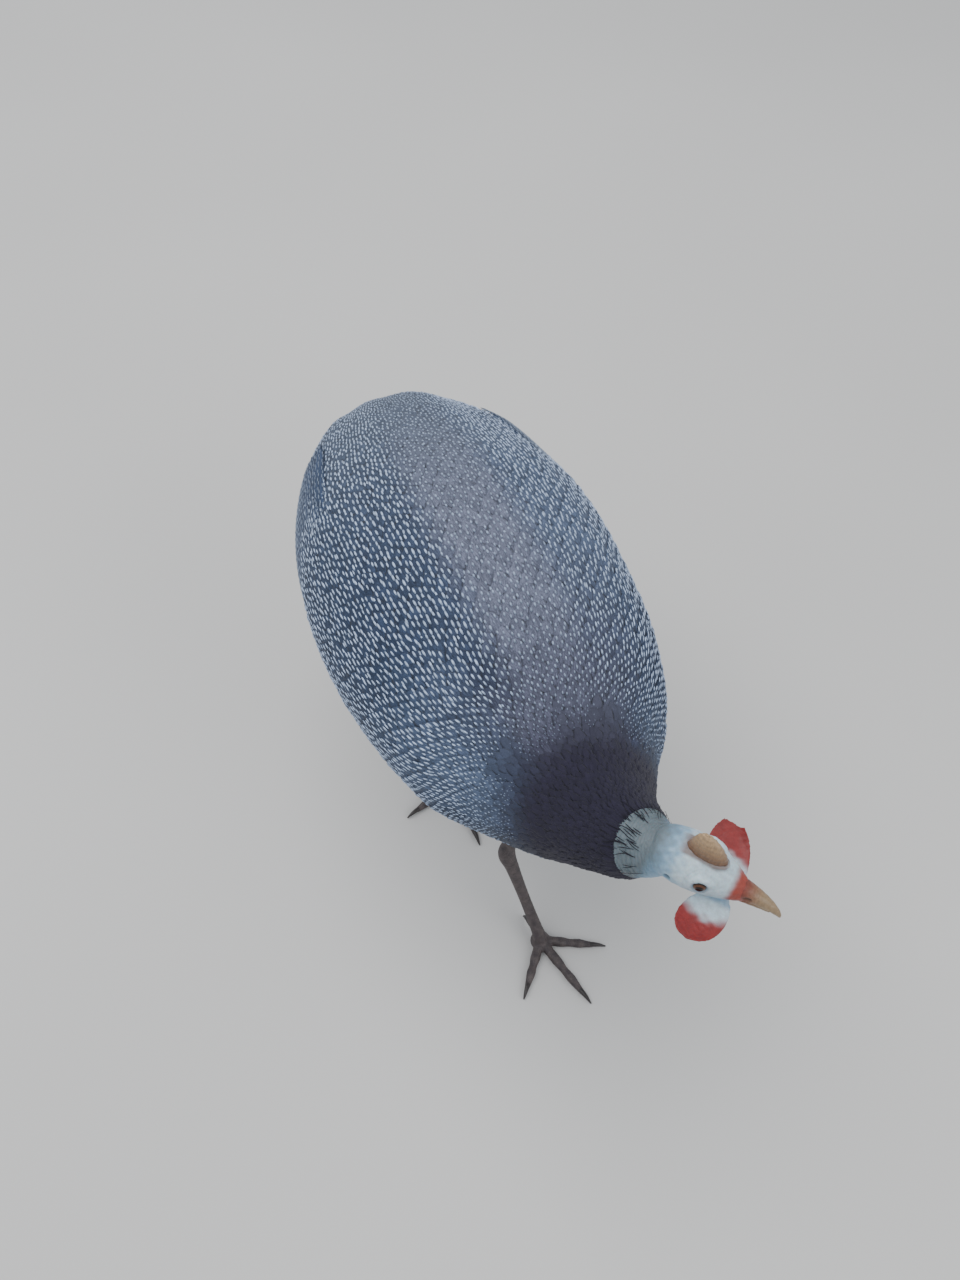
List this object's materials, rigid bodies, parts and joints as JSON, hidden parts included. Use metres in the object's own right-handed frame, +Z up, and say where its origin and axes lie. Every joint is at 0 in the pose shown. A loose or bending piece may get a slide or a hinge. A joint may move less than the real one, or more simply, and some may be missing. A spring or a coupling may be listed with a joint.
{
  "type": "guinea fowl",
  "caption": "Life-size still model of a pearl guinea fowl, walking with its neck stretched forward and its head turned to its left.",
  "frame": {"origin": "on the floor plane, below the middle of the box round the whole bird", "axes": "+Z up, -Y the way the bird walks, +X the bird's left side"},
  "size_m": [0.2082, 0.5014, 0.3556],
  "materials": {
    "plumage": "matte",
    "neck_plumage": "matte",
    "bare_skin": "satin",
    "wattle": "satin",
    "horn": "satin",
    "eye": "gloss",
    "leg_skin": "matte",
    "claw": "satin"
  },
  "bodies": {
    "root": {"bill_lower": "horn", "bill_upper": "horn", "casque": "horn", "claw_hallux_left": "claw", "claw_hallux_right": "claw", "claw_inner_left": "claw", "claw_inner_right": "claw", "claw_middle_left": "claw", "claw_middle_right": "claw", "claw_outer_left": "claw", "claw_outer_right": "claw", "eye_left": "eye", "eye_right": "eye", "foot_left": "leg_skin", "foot_right": "leg_skin", "head": "bare_skin", "nape": "bare_skin", "neck": "neck_plumage", "shank_left": "leg_skin", "shank_right": "leg_skin", "tail": "plumage", "thigh_left": "plumage", "thigh_right": "plumage", "toe_hallux_left": "leg_skin", "toe_hallux_right": "leg_skin", "toe_inner_left": "leg_skin", "toe_inner_right": "leg_skin", "toe_middle_left": "leg_skin", "toe_middle_right": "leg_skin", "toe_outer_left": "leg_skin", "toe_outer_right": "leg_skin", "trunk": "plumage", "wattle_left": "wattle", "wattle_right": "wattle", "wing_left": "plumage", "wing_right": "plumage"}
  },
  "joints": []
}
